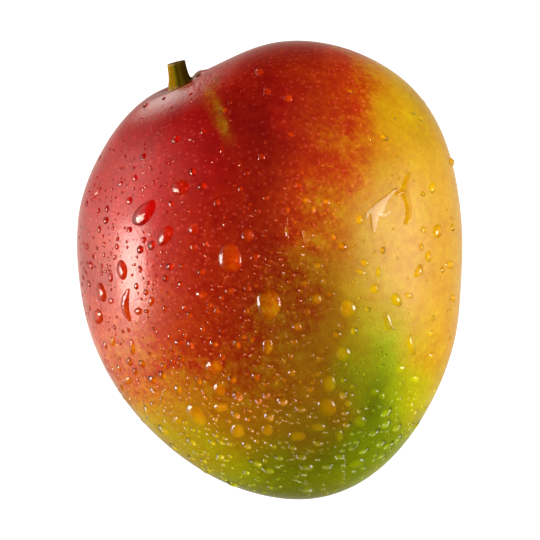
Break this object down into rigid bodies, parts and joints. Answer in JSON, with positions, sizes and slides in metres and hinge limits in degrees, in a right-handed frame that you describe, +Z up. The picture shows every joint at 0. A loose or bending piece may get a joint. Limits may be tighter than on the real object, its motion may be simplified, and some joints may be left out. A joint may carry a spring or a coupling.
{
  "type": "mango",
  "caption": "Whole ripe red and yellow mango lying on one cheek, with the cut stub of its stalk standing in a shallow cup at the stem end.",
  "frame": {"origin": "middle of the small flat spot on the lower cheek, on which the fruit rests", "axes": "+Z up, out of the upper cheek. +Y runs along the fruit's length towards the stalk end. +X runs across its width towards the fuller shoulder"},
  "size_m": [0.1011, 0.1203, 0.0886],
  "materials": {
    "skin": "satin",
    "stalk_bark": "matte",
    "water": "polished"
  },
  "bodies": {
    "root": {"fruit": "skin", "stalk": "stalk_bark"}
  },
  "joints": []
}
